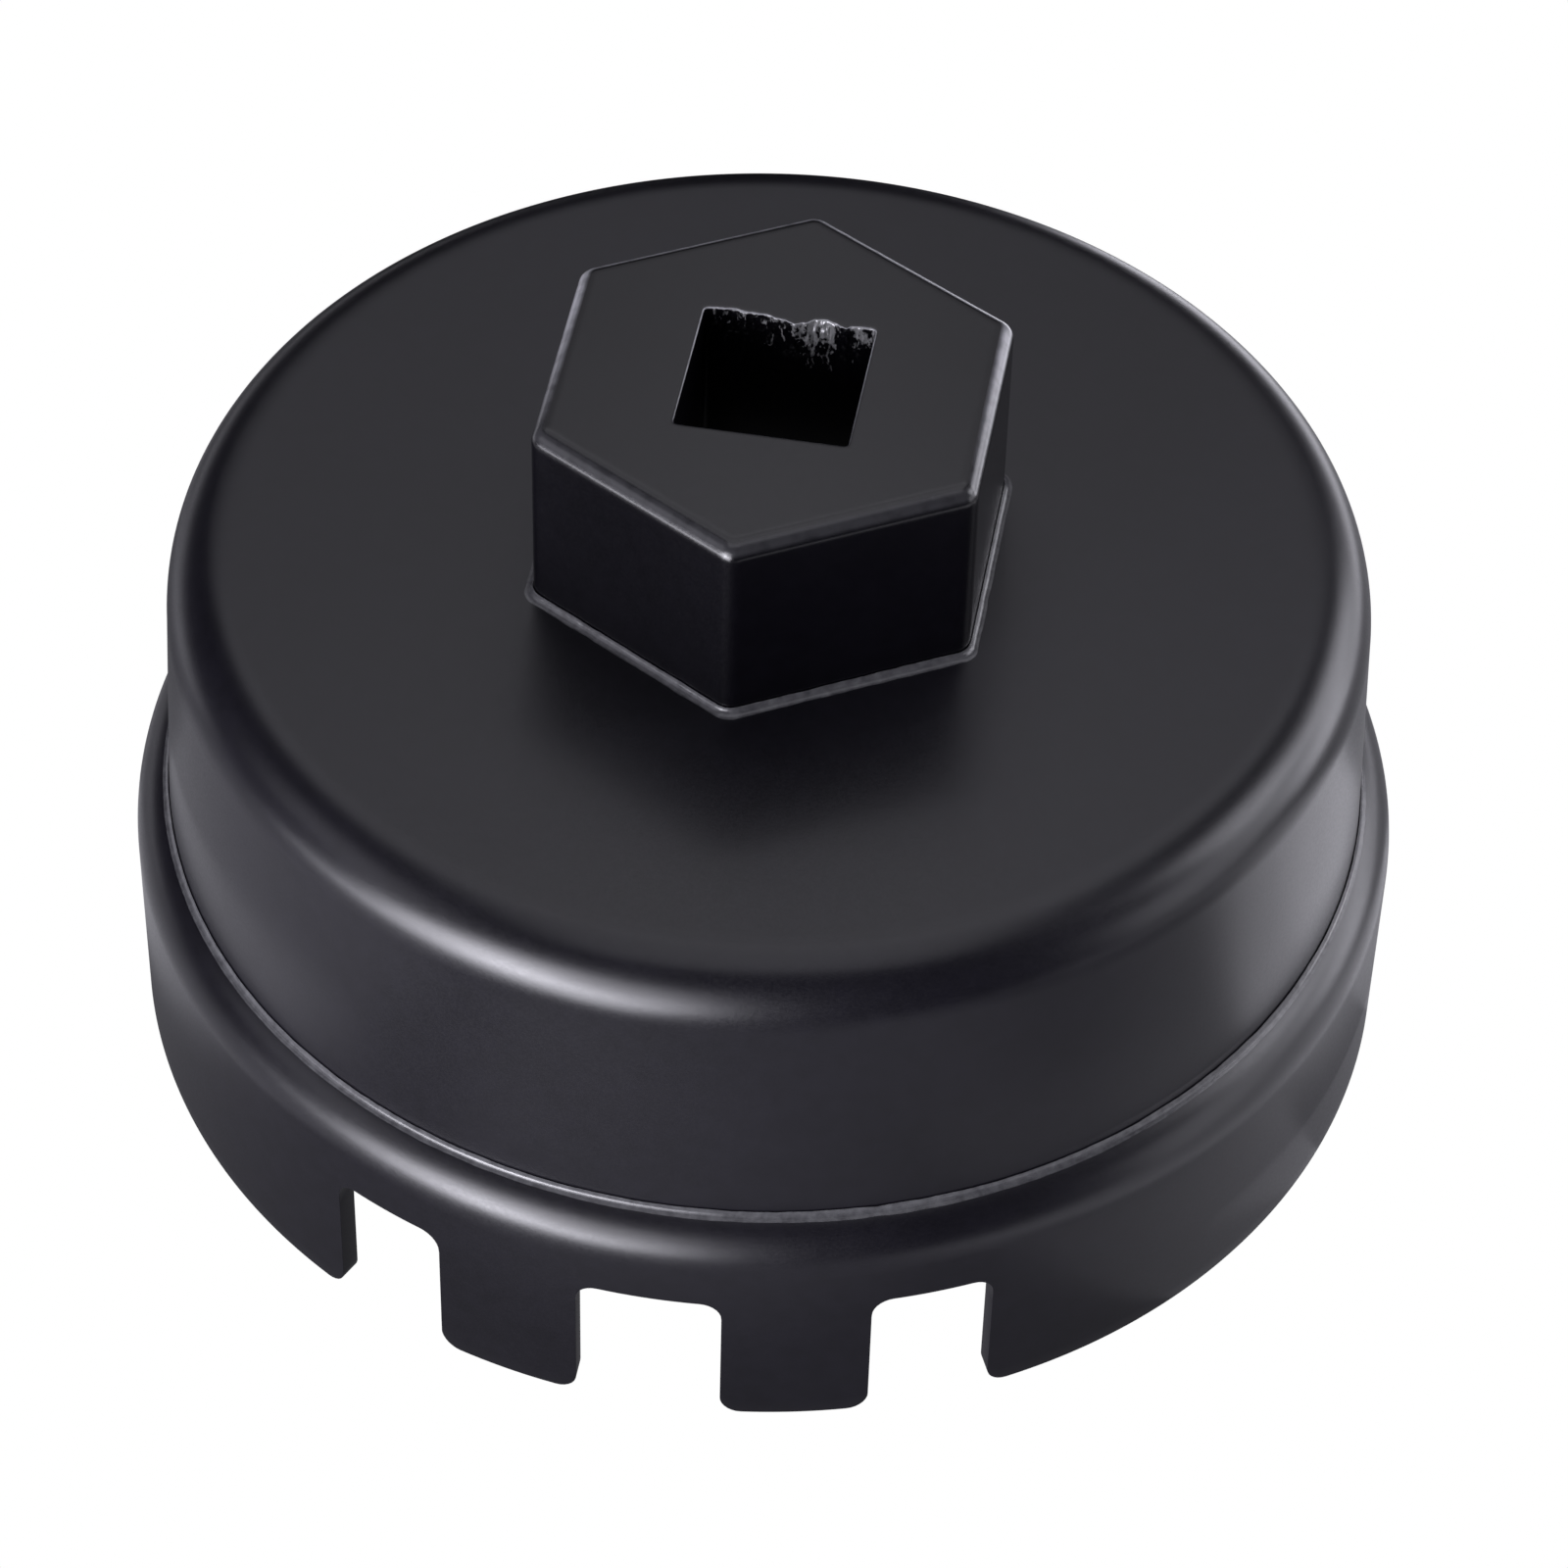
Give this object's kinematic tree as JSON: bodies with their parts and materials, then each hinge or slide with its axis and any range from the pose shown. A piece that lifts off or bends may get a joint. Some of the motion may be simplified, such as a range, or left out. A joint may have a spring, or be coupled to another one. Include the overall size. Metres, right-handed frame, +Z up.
{
  "type": "oil filter wrench",
  "caption": "Cap-type oil filter wrench: round coated steel drum with flats inside, notched skirt and a hexagonal boss with a square drive hole, for turning a cartridge filter housing.",
  "frame": {"origin": "centre of the rim's plane, where the tool stands on a bench", "axes": "+Z up the drive axis through the hexagon; -Y through the middle notch of one group; the hexagon has flats facing +X and -X, and the drive square's walls face X and Y"},
  "size_m": [0.073, 0.073, 0.0444],
  "materials": {
    "drum_coating": "satin black coating with a faint cool tint on steel",
    "skirt_coating": "satin black coating on sheet steel, worn a little at the notch edges",
    "hex_coating": "satin black coating on machined steel, torn to bright metal along the far edge of the drive hole",
    "coated_braze": "uneven braze bead under the satin black coating",
    "washer_coating": "satin black coating on a plain steel washer"
  },
  "bodies": {
    "root": {"drum_shell": "drum_coating", "skirt_collar": "skirt_coating", "crease_braze_ring": "coated_braze", "lap_braze_ring": "coated_braze", "drive_hex": "hex_coating", "hex_foot_braze": "coated_braze", "backing_washer": "washer_coating", "spigot_braze_ring": "coated_braze"}
  },
  "joints": []
}
